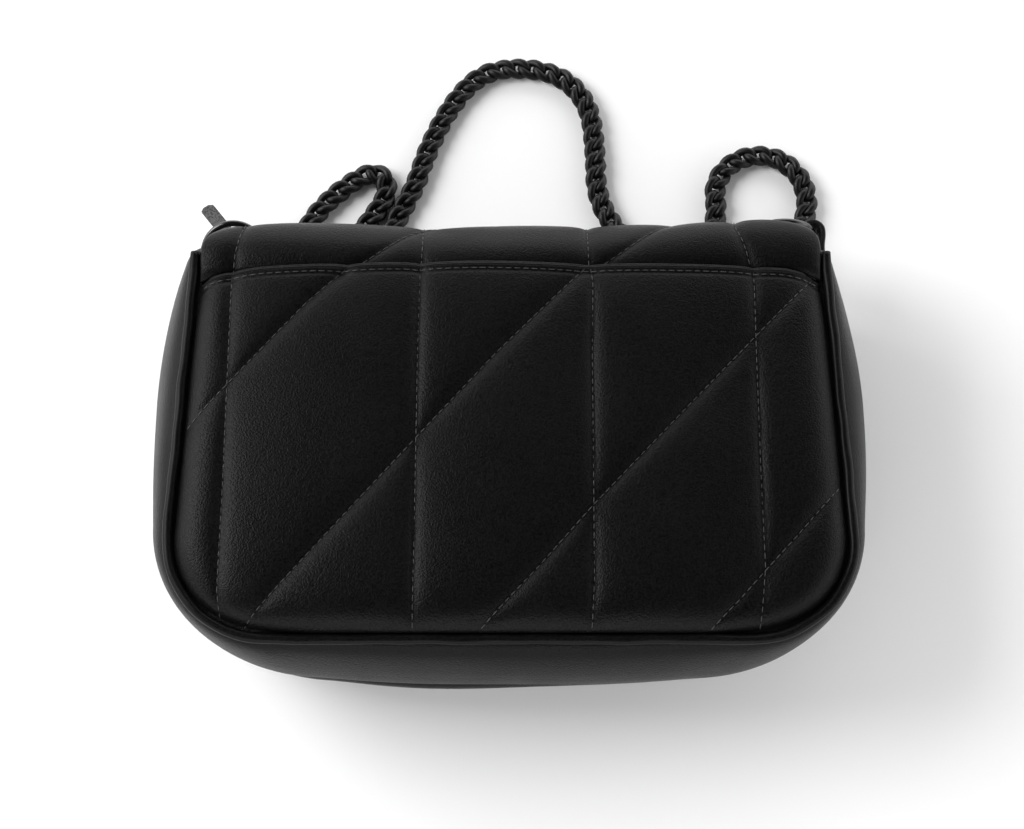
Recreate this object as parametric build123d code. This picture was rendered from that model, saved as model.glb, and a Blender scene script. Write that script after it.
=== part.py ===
# Quilted flap bag lying on its flap, back panel up, with a chain strap on the floor.
# Millimetres. X is the bag's width, +Y its mouth, +Z up; the floor is z = 0.
from build123d import *
import math
import os

# ---- driving dimensions -------------------------------------------------
TOP_HALF = 109.5         # half width of a panel at the lap seam
LOW_HALF = 113.5         # half width of a panel where the bottom corners start
LOW_Y = -43.0            # where the bottom corners start
BOTTOM_Y = -76.0         # lower edge of the panels
CORNER = 33.0            # bottom corner radius of the panels
SEAM_Y = 53.2            # lap seam between back panel and flap
BODY_Y = 71.0            # mouth end of the bag body
HINGE_Y = 53.4           # flap bends about this line
HINGE_Z = 70.5
FRONT_Z = 6.5            # front face of the bag body
FRONT_T = 4.5            # front panel, skin and padding
BACK_Z = 62.4            # underside of the back panel
BACK_T = 7.8             # back panel, skin and padding
SKIN = 1.5               # leather
BULGE = 13.0             # how far the gusset swells past the panels
WALL = 1.8               # gusset leather with its facing
PIPING = 2.0             # piping radius
FLAP_T = 6.0             # flap thickness, quilted
FLAP_R = 14.0            # outer bend radius of the flap
FLAP_WALL_Y = 80.0       # outer face of the flap over the mouth
FLAP_HALF = 111.0        # flap half width on the back
FLAP_FRONT_HALF = 108.0  # flap half width on the front
FLAP_WALL_HALF = 86.0    # flap half width between the side notches
FLAP_END_Y = -60.0       # free edge of the flap
NOTCH_Z = 54.0           # notches reach up to here
ZIP_Z = 36.5             # zip line
ZIP_Y = 61.0             # zip tape plane
RING_R = 11.4            # strap ring, middle of the wire
RING_WIRE = 1.2
RING_TILT = 40.0
CHAIN_D = 8.0            # chain width
CHAIN_Z = 4.05           # chain centre height on the floor

os.makedirs("parts", exist_ok=True)


def save(name, shape):
    """Write one node's solid to its own file."""
    shape.label = name
    export_step(shape, f"parts/{name}.step")
    box = shape.bounding_box()
    low = tuple(round(v, 1) for v in box.min)
    high = tuple(round(v, 1) for v in box.max)
    print(name, round(shape.volume, 1), low, high, len(shape.solids()))


def block(x0, x1, y0, y1, z0, z1):
    """A plain box between two corners."""
    size = Box(x1 - x0, y1 - y0, z1 - z0)
    return Pos((x0 + x1) / 2, (y0 + y1) / 2, (z0 + z1) / 2) * size


def disc(x, y, z0, z1, radius):
    """A round plate standing on z0."""
    return Pos(x, y, (z0 + z1) / 2) * Cylinder(radius, z1 - z0)


def outline(off, y_top, z):
    """Closed panel outline, grown by off, cut straight at y_top."""
    slope = (LOW_HALF - TOP_HALF) / (SEAM_Y - LOW_Y)
    top = LOW_HALF - slope * (y_top - LOW_Y) + off
    low = LOW_HALF + off
    radius = CORNER + off
    base = BOTTOM_Y - off
    k = radius * (1 - math.sqrt(0.5))
    right = Line((top, y_top, z), (low, LOW_Y, z))
    right_arc = ThreePointArc((low, LOW_Y, z), (low - k, base + k, z), (low - radius, base, z))
    bottom = Line((low - radius, base, z), (radius - low, base, z))
    left_arc = ThreePointArc((radius - low, base, z), (k - low, base + k, z), (-low, LOW_Y, z))
    left = Line((-low, LOW_Y, z), (-top, y_top, z))
    lid = Line((-top, y_top, z), (top, y_top, z))
    return Wire([right, right_arc, bottom, left_arc, left, lid])


def slab(off, y_top, z0, z1):
    """Outline extruded between two heights."""
    face = make_face(outline(off, y_top, z0).edges())
    return extrude(face, amount=z1 - z0, dir=(0, 0, 1))


def shell(heights, offsets, y_top):
    """Swelling body lofted through outlines."""
    faces = [make_face(outline(o, y_top, z).edges()) for z, o in zip(heights, offsets)]
    return loft(faces)


def rounded_top(solid, radius):
    """Round the outer upper edge of a slab."""
    top = solid.faces().sort_by(Axis.Z)[-1]
    rim = [e for e in top.edges() if e.center().Y < SEAM_Y - 0.5]
    return fillet(rim, radius)


# Room for the bag body inside the flap's swing
swing = Pos(0, HINGE_Y, HINGE_Z) * Rot(0, 90, 0) * Cylinder(63.7, 300)
mouth_room = swing & block(-150, 150, SEAM_Y - 0.01, BODY_Y, 0, 61.0)
body_room = block(-150, 150, -120, SEAM_Y, 0, 90) + mouth_room

# ---- back panel: padded quilted leather --------------------------------
back = rounded_top(slab(0, SEAM_Y, BACK_Z, BACK_Z + BACK_T), 4.0)
back_pad = rounded_top(slab(-SKIN, SEAM_Y - SKIN, BACK_Z, BACK_Z + BACK_T - SKIN), 3.0)
back_panel = back - back_pad
save("back_panel", back_panel)
save("back_padding", back_pad)

# ---- front panel, with the hole for the snap socket ---------------------
SNAP_Y = -45.0
front = slab(0, BODY_Y, FRONT_Z, FRONT_Z + FRONT_T) & body_room
front_pad = slab(-SKIN, BODY_Y - SKIN, FRONT_Z + SKIN, FRONT_Z + FRONT_T) & body_room
snap_hole = disc(0, SNAP_Y, FRONT_Z - 1, FRONT_Z + FRONT_T + 1, 9.0)
front_pad = front_pad - snap_hole
front_panel = front - slab(-SKIN, BODY_Y - SKIN, FRONT_Z + SKIN, FRONT_Z + FRONT_T) - snap_hole
save("front_panel", front_panel)
save("front_padding", front_pad)


# ---- piping: cord in leather round both panels --------------------------
def piping(z, y_top):
    """Round welt along the sides and bottom of a panel."""
    edges = outline(PIPING, y_top, z).edges()
    path = Wire([e for e in edges if e.center().Y < y_top - 0.1])
    start = path @ 0
    section = Plane(origin=start, z_dir=path % 0) * Circle(PIPING - 0.02)
    return sweep(section, path=path)


save("back_piping", piping(BACK_Z + 2.0, SEAM_Y))
save("front_piping", piping(FRONT_Z + 2.5, 64.0))

# ---- gusset: swelling side and bottom wall with closed mouth ends -------
outer = shell((11.0, 20.0, 36.7, 53.4, 62.4), (4.2, 10.0, BULGE, 10.0, 4.2), BODY_Y)
inner = shell((14.0, 21.5, 36.7, 51.9, 59.4), (3.0, 8.2, BULGE - WALL, 8.2, 3.0), BODY_Y - SKIN)
window = slab(-6.0, 90, 10, 64)
gusset = (outer & body_room) - inner - window
gusset = gusset - block(-100, 100, 40, 80, 11, 62)
save("gusset", gusset)

# ---- lining: fabric bag inside ------------------------------------------
lining_out = shell((14.2, 21.5, 36.7, 51.9, 59.2), (2.6, 7.8, 10.8, 7.8, 2.6), 60.8)
lining_in = shell((15.0, 22.0, 36.7, 51.4, 58.4), (1.6, 6.9, 9.9, 6.9, 1.6), 80)
lining = lining_out - lining_in
save("lining", lining)
save("base_board", block(-80, 80, -72, -70.2, 15.0, 58.4))
pocket = block(-50, 50, -35, 25, 57.0, 58.4) - block(-48.8, 48.8, -33.8, 26, 57.6, 58.0)
save("inner_pocket", pocket)
front_fill = slab(-6.2, BODY_Y - SKIN, FRONT_Z + FRONT_T, 14.2) & block(-150, 150, -120, 60.8, 0, 90)
socket_room = disc(0, SNAP_Y, 10, 15, 10.0)
save("front_interlining", front_fill - socket_room)
back_fill = slab(-6.2, SEAM_Y, 59.2, BACK_Z) - block(-150, 150, 48.6, 80, 50, 70)
save("back_interlining", back_fill)

# ---- mouth: facings, zip and its slider ---------------------------------
facing_front = block(-99.8, 99.8, 62, 63.2, FRONT_Z + FRONT_T, 31.0)
facing_back = block(-99.8, 99.8, 49, 53, 59.6, BACK_Z)
facing_back = facing_back + block(-99.8, 99.8, 49, 63.2, 59.6, 61.0)
facing_back = facing_back + block(-99.8, 99.8, 62, 63.2, 42.0, 61.0)
save("mouth_facing_front", facing_front)
save("mouth_facing_back", facing_back)
save("zip_tape_front", block(-97, 99, ZIP_Y, 62, 24, ZIP_Z - 1))
save("zip_tape_back", block(-97, 99, ZIP_Y, 62, ZIP_Z + 1, 49))
teeth = block(-93, 95, ZIP_Y + 0.2, 61.8, ZIP_Z - 1, ZIP_Z + 1)
for i in range(47):
    x = -91.5 + 4.0 * i
    teeth = teeth + block(x, x + 2.0, ZIP_Y - 0.4, 62.4, ZIP_Z - 1, ZIP_Z + 1)
save("zip_teeth", teeth)
stops = block(95.2, 97.2, ZIP_Y - 0.6, 62.6, ZIP_Z - 0.99, ZIP_Z + 0.99)
save("zip_end_stop", stops)
slider = block(-103, -94, 62.9, 64.0, ZIP_Z - 3.6, ZIP_Z + 3.6)
slider = slider + block(-103, -94, 59.0, 60.1, ZIP_Z - 3.6, ZIP_Z + 3.6)
slider = slider + block(-103, -100, 59.0, 64.0, ZIP_Z - 0.7, ZIP_Z + 0.7)
slider = slider + block(-102.5, -101.3, 64.0, 67.8, ZIP_Z - 1.4, ZIP_Z + 1.4)
slider = slider + block(-95.7, -94.5, 64.0, 67.8, ZIP_Z - 1.4, ZIP_Z + 1.4)
slider = slider + block(-102.5, -94.5, 66.6, 67.8, ZIP_Z - 1.4, ZIP_Z + 1.4)
save("zip_slider", slider)
link = Pos(-98.5, 68.4, ZIP_Z) * Rot(0, 90, 0) * Torus(3.1, 0.55)
save("puller_link", link)


def strip(points, width, thick):
    """Flat strip through points, its width kept level."""
    frames = []
    for i, p in enumerate(points):
        a = Vector(*points[max(i - 1, 0)])
        b = Vector(*points[min(i + 1, len(points) - 1)])
        run = (b - a).normalized()
        side = run.cross(Vector(0, 0, 1)).normalized()
        plane = Plane(origin=p, x_dir=side, z_dir=run)
        frames.append(plane * Rectangle(width, thick))
    solid = loft(frames[:2], ruled=True)
    for f, g in zip(frames[1:], frames[2:]):
        solid = solid + loft([f, g], ruled=True)
    return solid


pull_path = [(-98.5, 72.3, 36.3), (-104.0, 81.5, 31.5), (-109.4, 91.0, 23.5), (-117.0, 102.2, 18.0)]
save("puller_tab", strip(pull_path, 5.6, 1.4))

# ---- flap: bends over the mouth and lies under the bag ------------------


def flap_section(a, b):
    """Flap layer between depths a and b below its outer face."""
    s = math.sqrt(0.5)

    def run(t, back):
        r = FLAP_R - t
        cy = FLAP_WALL_Y - FLAP_R
        hi = 55.0
        lo = FLAP_R
        start = (0, HINGE_Y + 0.5, 69.0 - t)
        p1 = (0, cy, 69.0 - t)
        m1 = (0, cy + r * s, hi + r * s)
        p2 = (0, FLAP_WALL_Y - t, hi)
        p3 = (0, FLAP_WALL_Y - t, lo)
        m3 = (0, cy + r * s, lo - r * s)
        p4 = (0, cy, t)
        end = (0, FLAP_END_Y, t)
        parts = [Line(start, p1), ThreePointArc(p1, m1, p2), Line(p2, p3)]
        parts += [ThreePointArc(p3, m3, p4), Line(p4, end)]
        return parts, start, end

    first, s0, e0 = run(a, False)
    second, s1, e1 = run(b, True)
    face = make_face(first + [Line(e0, e1)] + second + [Line(s1, s0)])
    return face


def flap_layer(a, b, inset):
    """One flap layer cut to the flap's plan, drawn in by inset."""
    half = FLAP_HALF - inset
    body = extrude(flap_section(a, b), amount=half, both=True, dir=(1, 0, 0))
    plan = Pos(0, 0, 35) * extrude(RectangleRounded(2 * half, 320, 10.0), amount=60, both=True)
    plan = Pos(0, FLAP_WALL_Y - 160, 0) * plan
    body = body & plan
    front = FLAP_FRONT_HALF - inset
    low = FLAP_END_Y + inset
    shape = Pos(0, low + 100) * RectangleRounded(2 * front, 200, 30.0)
    keep = extrude(shape, amount=NOTCH_Z - 12, dir=(0, 0, 1))
    keep = Pos(0, 0, -1) * keep
    keep = keep + block(-200, 200, -100, 100, NOTCH_Z - 13.5, 90)
    body = body & keep
    edge = FLAP_WALL_HALF - inset
    for side in (-1, 1):
        notch = block(edge, 130, 60 - inset, 90, -5, NOTCH_Z + inset)
        notch = fillet(notch.edges().filter_by(Axis.Y), 6.0)
        body = body - (notch if side > 0 else mirror(notch, Plane.YZ))
    return body


flap_outer = flap_layer(0.0, 1.4, 0.0)
flap_lining = flap_layer(4.8, FLAP_T, 0.0)
flap_pad = flap_layer(1.4, 4.8, 1.2)
stud_washer = disc(0, SNAP_Y, 4.0, 4.8, 8.0)
flap_pad = flap_pad - stud_washer
save("flap_outer", flap_outer)
save("flap_lining", flap_lining)
save("flap_padding", flap_pad)
rim = flap_layer(1.4, 4.8, 0.0) - flap_layer(1.4, 4.8, 1.2)
save("flap_binding", rim)
save("snap_stud_washer", stud_washer)
save("snap_stud", disc(0, SNAP_Y, FLAP_T, FLAP_T + 1.3, 4.5))

# ---- snap socket in the front panel --------------------------------------
socket = disc(0, SNAP_Y, FRONT_Z, FRONT_Z + FRONT_T, 8.98)
socket = socket - disc(0, SNAP_Y, FRONT_Z - 1, FRONT_Z + 1.9, 6.4)
save("snap_socket", socket)
save("snap_socket_washer", disc(0, SNAP_Y, FRONT_Z + FRONT_T, FRONT_Z + FRONT_T + 0.8, 9.8))

# ---- right ring hanging in a folded leather tab ---------------------------
RX, RY, RZ = 112.0, 82.0, 36.0       # wire centre inside the right tab


def tab_profile(turn):
    """Folded strap seen on edge: an eye with two legs going to -Y."""
    eye = Circle(4.7) + Pos(0, -9) * Rectangle(9.4, 18)
    hole = Circle(2.6) + Pos(0, -2.5) * Rectangle(3.4, 5)
    slit = Pos(0, -12) * Rectangle(0.5, 24)
    return Rot(0, 0, turn) * (eye - hole - slit)


right_tab = extrude(tab_profile(0), amount=4.5, both=True)
right_tab = Pos(RX, RY, RZ) * right_tab
right_tab = right_tab & block(90, 130, BODY_Y, 100, 0, 90)
save("right_ring_tab", right_tab)
right_ring = Pos(RX - RING_R, RY, RZ) * Rot(90, 0, 0) * Torus(RING_R, RING_WIRE)
save("right_ring", right_ring)

# ---- left ring lying over the zip pull ------------------------------------
LX, LY, LZ = -104.6, 81.6, 21.0      # ring centre
tilt = Pos(LX, LY, LZ) * Rot(RING_TILT, 0, 0)
left_ring = tilt * Torus(RING_R, RING_WIRE)
save("left_ring", left_ring)
EYE = math.radians(215)
lean = math.radians(RING_TILT)
reach = Vector(math.cos(EYE), math.sin(EYE) * math.cos(lean), math.sin(EYE) * math.sin(lean))
along = Vector(-math.sin(EYE), math.cos(EYE) * math.cos(lean), math.cos(EYE) * math.sin(lean))
eye_at = Vector(LX, LY, LZ) + reach * RING_R
print("left eye", eye_at, "axis", along)
left_tab = extrude(Plane(origin=eye_at, x_dir=reach, z_dir=along) * tab_profile(0), amount=4.0, both=True)
left_tab = left_tab & block(-130, -90, BODY_Y, 100, 0, 90)
save("left_ring_tab", left_tab)

# ---- end links between chain and rings ------------------------------------
LINK_R = 4.2
LINK_WIRE = 1.0
NEST = LINK_R - LINK_WIRE - RING_WIRE - 0.4      # ring wire sits this far off the link's centre
turn = math.radians(-15)
left_hold = Vector(LX + RING_R * math.cos(turn),
                   LY + RING_R * math.sin(turn) * math.cos(lean),
                   LZ + RING_R * math.sin(turn) * math.sin(lean))
left_run = Vector(0.42, 0.50, -0.757).normalized()
left_axis = Vector(0.259, 0.74, 0.62)
left_link = Plane(origin=left_hold + left_run * NEST, z_dir=left_axis) * Torus(LINK_R, LINK_WIRE)
save("chain_end_link_left", left_link)
right_hold = Vector(RX - RING_R, RY, RZ - RING_R)
right_run = Vector(0, 0.5, -0.866)
right_link = Plane(origin=right_hold + right_run * NEST, z_dir=(1, 0, 0)) * Torus(LINK_R, LINK_WIRE)
save("chain_end_link_right", right_link)
CHAIN_OFF = 7.3
chain_start = left_hold + left_run * CHAIN_OFF
chain_end = right_hold + right_run * CHAIN_OFF


# ---- chain strap: a tube along the chain's centre line --------------------
ROUTE = [
    tuple(chain_start), (-83.0, 91.0, CHAIN_Z + 0.2), (-76.0, 107.5, CHAIN_Z), (-62.5, 120.5, CHAIN_Z),
    (-52.5, 125.5, CHAIN_Z), (-47.0, 117.0, CHAIN_Z), (-54.5, 103.5, CHAIN_Z),
    (-63.0, 93.5, CHAIN_Z), (-56.5, 84.6, CHAIN_Z), (-48.5, 88.5, CHAIN_Z),
    (-45.5, 102.0, CHAIN_Z), (-37.5, 118.0, CHAIN_Z), (-33.0, 134.0, CHAIN_Z),
    (-24.5, 153.0, CHAIN_Z), (-12.5, 168.5, CHAIN_Z), (4.0, 171.5, CHAIN_Z),
    (21.0, 167.5, CHAIN_Z), (31.5, 154.0, CHAIN_Z), (33.5, 134.0, CHAIN_Z),
    (33.5, 114.0, CHAIN_Z), (42.0, 97.0, CHAIN_Z), (56.0, 88.5, CHAIN_Z),
    (74.0, 89.5, CHAIN_Z), (81.0, 104.0, CHAIN_Z), (79.5, 119.5, CHAIN_Z),
    (88.5, 130.5, CHAIN_Z), (102.5, 132.5, CHAIN_Z), (113.5, 124.5, CHAIN_Z),
    (117.0, 111.0, CHAIN_Z), (112.5, 98.0, 4.4), (103.5, 90.5, 9.0), tuple(chain_end),
]


def route(points, share):
    """Runs joined by tangent arcs."""
    pts = [Vector(*p) for p in points]
    cuts = []
    for a, b, c in zip(pts, pts[1:], pts[2:]):
        u = (a - b).normalized()
        v = (c - b).normalized()
        turn = math.pi - math.acos(max(-1.0, min(1.0, u.dot(v))))
        cut = share * min((a - b).length, (c - b).length)
        radius = cut / math.tan(turn / 2)
        far = radius / math.cos(turn / 2) - radius
        mid = b + (u + v).normalized() * far
        cuts.append((b + u * cut, mid, b + v * cut, radius))
    edges = []
    here = pts[0]
    for start, mid, end, radius in cuts:
        edges.append(Line(here, start))
        edges.append(ThreePointArc(start, mid, end))
        here = end
    edges.append(Line(here, pts[-1]))
    return Wire(edges), [round(c[3], 1) for c in cuts]


chain_path, chain_radii = route(ROUTE, 0.45)
print("chain length", round(chain_path.length, 1), "radii", chain_radii)
chain_cut = Plane(origin=chain_path @ 0, z_dir=chain_path % 0) * Circle(CHAIN_D / 2)
chain = sweep(chain_cut, path=chain_path)
print("chain volume", chain.volume, math.pi * (CHAIN_D / 2) ** 2 * chain_path.length)
save("chain_strap", chain)
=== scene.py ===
import math
import bmesh
import bpy
import numpy as np
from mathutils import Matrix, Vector


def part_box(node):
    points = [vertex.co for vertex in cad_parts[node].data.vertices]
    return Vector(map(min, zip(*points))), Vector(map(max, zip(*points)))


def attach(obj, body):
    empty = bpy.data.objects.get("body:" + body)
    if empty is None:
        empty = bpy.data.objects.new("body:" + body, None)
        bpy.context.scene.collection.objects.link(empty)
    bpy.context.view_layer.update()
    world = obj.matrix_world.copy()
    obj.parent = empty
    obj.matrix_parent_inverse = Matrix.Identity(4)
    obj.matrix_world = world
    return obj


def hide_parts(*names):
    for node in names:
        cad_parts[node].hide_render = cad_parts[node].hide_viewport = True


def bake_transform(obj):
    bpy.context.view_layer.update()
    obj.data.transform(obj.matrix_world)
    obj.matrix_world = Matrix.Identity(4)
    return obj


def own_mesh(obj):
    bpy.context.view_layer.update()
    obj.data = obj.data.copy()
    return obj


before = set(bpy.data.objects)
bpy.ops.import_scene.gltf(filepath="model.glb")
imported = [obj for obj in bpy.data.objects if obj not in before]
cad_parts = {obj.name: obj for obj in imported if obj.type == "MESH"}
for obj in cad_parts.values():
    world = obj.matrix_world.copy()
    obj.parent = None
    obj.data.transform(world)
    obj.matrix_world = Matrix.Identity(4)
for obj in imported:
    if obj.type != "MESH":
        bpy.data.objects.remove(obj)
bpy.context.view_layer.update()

MM = 0.001

# ---------------------------------------------------------------------------
# Viewpoint and the pale table the bag lies on.
# The bag lies face down; we look down on its back from the base side.
# ---------------------------------------------------------------------------
scene = bpy.context.scene
view_tilt = math.radians(20.0)
view_dist = 720 * MM
look_at = Vector((0.5 * MM, 0.0, 66 * MM))
eye = look_at + Vector((0, -math.sin(view_tilt), math.cos(view_tilt))) * view_dist
camera_data = bpy.data.cameras.new("product_view")
camera_data.lens = 73.37
camera_data.sensor_width = 36.0
camera_data.clip_start = 0.01
camera = bpy.data.objects.new("product_view", camera_data)
camera.location = eye
camera.rotation_euler = (look_at - eye).to_track_quat("-Z", "Y").to_euler()
scene.collection.objects.link(camera)
scene.camera = camera

table_mesh = bpy.data.meshes.new("table_top")
table_mesh.from_pydata([(-3, -3, 0), (3, -3, 0), (3, 3, 0), (-3, 3, 0)], [], [(0, 1, 2, 3)])
table = bpy.data.objects.new("table_top", table_mesh)
scene.collection.objects.link(table)
table_paint = bpy.data.materials.new("table_white")
table_paint.use_nodes = True
table_bsdf = table_paint.node_tree.nodes["Principled BSDF"]
table_bsdf.inputs["Base Color"].default_value = (0.93, 0.93, 0.93, 1)
table_bsdf.inputs["Roughness"].default_value = 0.75
table_mesh.materials.append(table_paint)


def softbox(name, at, size, power):
    """Rectangular studio light, in metres and watts, pointed at the bag."""
    aim = Vector((0, 0, 0.03))
    data = bpy.data.lights.new(name, "AREA")
    data.shape = "RECTANGLE"
    data.size = size[0]
    data.size_y = size[1]
    data.energy = power
    lamp = bpy.data.objects.new(name, data)
    lamp.location = at
    lamp.rotation_euler = (aim - Vector(at)).to_track_quat("-Z", "Y").to_euler()
    scene.collection.objects.link(lamp)


softbox("window_left", (-1.12, 0.32, 1.0), (0.8, 0.8), 18.0)
softbox("fill_top", (0.1, 1.6, 0.9), (1.8, 0.4), 4.0)
softbox("fill_front", (-0.2, -1.35, 0.75), (1.7, 0.4), 5.0)
# White walls all round, a little dimmer in front, and a darker ceiling.
sky = bpy.data.worlds.new("studio")
sky.use_nodes = True
sky_nodes = sky.node_tree.nodes
sky_link = sky.node_tree.links.new
sky_where = sky_nodes.new("ShaderNodeTexCoord")
sky_split = sky_nodes.new("ShaderNodeSeparateXYZ")
sky_fall = sky_nodes.new("ShaderNodeMapRange")
sky_fall.inputs["From Min"].default_value = 0.28
sky_fall.inputs["From Max"].default_value = 0.74
sky_fall.inputs["To Min"].default_value = 2.9
sky_fall.inputs["To Max"].default_value = 0.065
sky_link(sky_where.outputs["Generated"], sky_split.inputs["Vector"])
sky_link(sky_split.outputs["Z"], sky_fall.inputs["Value"])
sky_side = sky_nodes.new("ShaderNodeMapRange")
sky_side.inputs["From Min"].default_value = -0.8
sky_side.inputs["From Max"].default_value = 0.6
sky_side.inputs["To Min"].default_value = 0.8
sky_side.inputs["To Max"].default_value = 1.0
sky_level = sky_nodes.new("ShaderNodeMath")
sky_level.operation = "MULTIPLY"
sky_link(sky_split.outputs["Y"], sky_side.inputs["Value"])
sky_link(sky_fall.outputs["Result"], sky_level.inputs[0])
sky_link(sky_side.outputs["Result"], sky_level.inputs[1])
sky_link(sky_level.outputs["Value"], sky_nodes["Background"].inputs["Strength"])
sky_nodes["Background"].inputs["Color"].default_value = (1, 1, 1, 1)
scene.world = sky
scene.view_settings.view_transform = "Standard"

# ---------------------------------------------------------------------------
# Back panel: black leather over foam, quilted with straight and slanting rows,
# its edge held in the piping and its top edge turned and lapped over the flap.
# ---------------------------------------------------------------------------


def leather(name, tone, rough, grain=1.0, pebble=1500.0):
    """Dyed grain leather: fine pebble, pores, and slow changes of sheen."""
    mat = bpy.data.materials.new(name)
    mat.use_nodes = True
    nodes = mat.node_tree.nodes
    link = mat.node_tree.links.new
    bsdf = nodes["Principled BSDF"]
    where = nodes.new("ShaderNodeTexCoord")
    cells = nodes.new("ShaderNodeTexVoronoi")
    cells.feature = "SMOOTH_F1"
    cells.inputs["Scale"].default_value = pebble
    cells.inputs["Smoothness"].default_value = 0.45
    warp = nodes.new("ShaderNodeTexNoise")
    warp.inputs["Scale"].default_value = 420.0
    warp.inputs["Detail"].default_value = 3.0
    drift = nodes.new("ShaderNodeMixRGB")
    drift.blend_type = "LINEAR_LIGHT"
    drift.inputs["Fac"].default_value = 0.0009
    link(where.outputs["Object"], warp.inputs["Vector"])
    link(where.outputs["Object"], drift.inputs["Color1"])
    link(warp.outputs["Color"], drift.inputs["Color2"])
    link(drift.outputs["Color"], cells.inputs["Vector"])
    pores = nodes.new("ShaderNodeTexNoise")
    pores.inputs["Scale"].default_value = 3400.0
    pores.inputs["Detail"].default_value = 4.0
    link(where.outputs["Object"], pores.inputs["Vector"])
    relief = nodes.new("ShaderNodeMath")
    relief.operation = "MULTIPLY_ADD"
    relief.inputs[1].default_value = 0.6
    link(pores.outputs["Fac"], relief.inputs[0])
    link(cells.outputs["Distance"], relief.inputs[2])
    bump = nodes.new("ShaderNodeBump")
    bump.inputs["Strength"].default_value = 0.45 * grain
    bump.inputs["Distance"].default_value = 0.00028
    bump.invert = True
    link(relief.outputs["Value"], bump.inputs["Height"])
    link(bump.outputs["Normal"], bsdf.inputs["Normal"])
    patches = nodes.new("ShaderNodeTexNoise")
    patches.inputs["Scale"].default_value = 38.0
    patches.inputs["Detail"].default_value = 5.0
    link(where.outputs["Object"], patches.inputs["Vector"])
    shade = nodes.new("ShaderNodeMapRange")
    shade.inputs["From Min"].default_value = 0.3
    shade.inputs["From Max"].default_value = 0.7
    shade.inputs["To Min"].default_value = rough - 0.035
    shade.inputs["To Max"].default_value = rough + 0.045
    link(patches.outputs["Fac"], shade.inputs["Value"])
    creases = nodes.new("ShaderNodeMath")
    creases.operation = "MULTIPLY_ADD"
    creases.inputs[1].default_value = 0.10
    link(cells.outputs["Distance"], creases.inputs[0])
    link(shade.outputs["Result"], creases.inputs[2])
    link(creases.outputs["Value"], bsdf.inputs["Roughness"])
    dye = nodes.new("ShaderNodeValToRGB")
    dye.color_ramp.elements[0].position = 0.15
    dye.color_ramp.elements[0].color = (tone * 0.15, tone * 0.15, tone * 0.16, 1)
    dye.color_ramp.elements[1].position = 0.62
    dye.color_ramp.elements[1].color = (tone * 2.5, tone * 2.5, tone * 2.55, 1)
    link(cells.outputs["Distance"], dye.inputs["Fac"])
    link(dye.outputs["Color"], bsdf.inputs["Base Color"])
    bsdf.inputs["Specular IOR Level"].default_value = 0.085
    return mat


bag_leather = leather("bag_leather", 0.0017, 0.29)


def surface(name, grid, material, close_u=False):
    """Smooth quad mesh from a rows x columns x 3 grid in millimetres."""
    rows, cols = grid.shape[:2]
    index = np.arange(rows * cols).reshape(rows, cols)
    a = index[:-1, :-1].ravel()
    b = index[:-1, 1:].ravel()
    c = index[1:, 1:].ravel()
    d = index[1:, :-1].ravel()
    quads = np.stack([a, b, c, d], 1)
    if close_u:
        extra = np.stack([index[:-1, -1], index[:-1, 0], index[1:, 0], index[1:, -1]], 1)
        quads = np.concatenate([quads, extra])
    mesh = bpy.data.meshes.new(name)
    mesh.from_pydata((grid.reshape(-1, 3) * MM).tolist(), [], quads.tolist())
    mesh.polygons.foreach_set("use_smooth", [True] * len(mesh.polygons))
    mesh.materials.append(material)
    piece = bpy.data.objects.new(name, mesh)
    scene.collection.objects.link(piece)
    return piece


def finished(piece, weld=0.0):
    """Bakes the modifiers into the mesh; given a weld distance, also merges close points and points the
    faces outwards.
    """
    shape = piece.evaluated_get(bpy.context.evaluated_depsgraph_get())
    mesh = bpy.data.meshes.new_from_object(shape)
    piece.modifiers.clear()
    piece.data = mesh
    if weld:
        tidy = bmesh.new()
        tidy.from_mesh(mesh)
        bmesh.ops.remove_doubles(tidy, verts=tidy.verts, dist=weld)
        bmesh.ops.recalc_face_normals(tidy, faces=tidy.faces)
        tidy.to_mesh(mesh)
        tidy.free()
    mesh.polygons.foreach_set("use_smooth", [True] * len(mesh.polygons))
    return piece


def row_distance(x, y, row):
    """Distance from points to a stitched row, and the place along it."""
    best = np.full(x.shape, 1e9)
    along = np.zeros(x.shape)
    run = 0.0
    for (ax, ay), (bx, by) in zip(row, row[1:]):
        length = math.hypot(bx - ax, by - ay)
        ux, uy = (bx - ax) / length, (by - ay) / length
        t = np.clip((x - ax) * ux + (y - ay) * uy, 0, length)
        d = np.hypot(x - ax - t * ux, y - ay - t * uy)
        near = d < best
        best = np.where(near, d, best)
        along = np.where(near, run + t, along)
        run += length
    return best, along


def quilt(x, y, rows, swell, reach):
    """Height of padded cells between stitched rows, with puckers by the thread."""
    rise = np.ones(x.shape)
    pucker = np.zeros(x.shape)
    for k, row in enumerate(rows):
        d, s = row_distance(x, y, row)
        rise = rise * (1 - 0.42 * np.exp(-d / 2.0) - 0.58 * np.exp(-d / reach))
        wave = np.sin(s * 0.83 + 1.7 * k + 1.3 * np.sin(s * 0.11 + k))
        wave = wave + 0.6 * np.sin(s * 0.47 + 2.9 * k)
        pucker += 0.035 * wave * np.exp(-d / 4.5) * (1 - np.exp(-d / 1.3))
    return swell * rise + pucker


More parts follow.
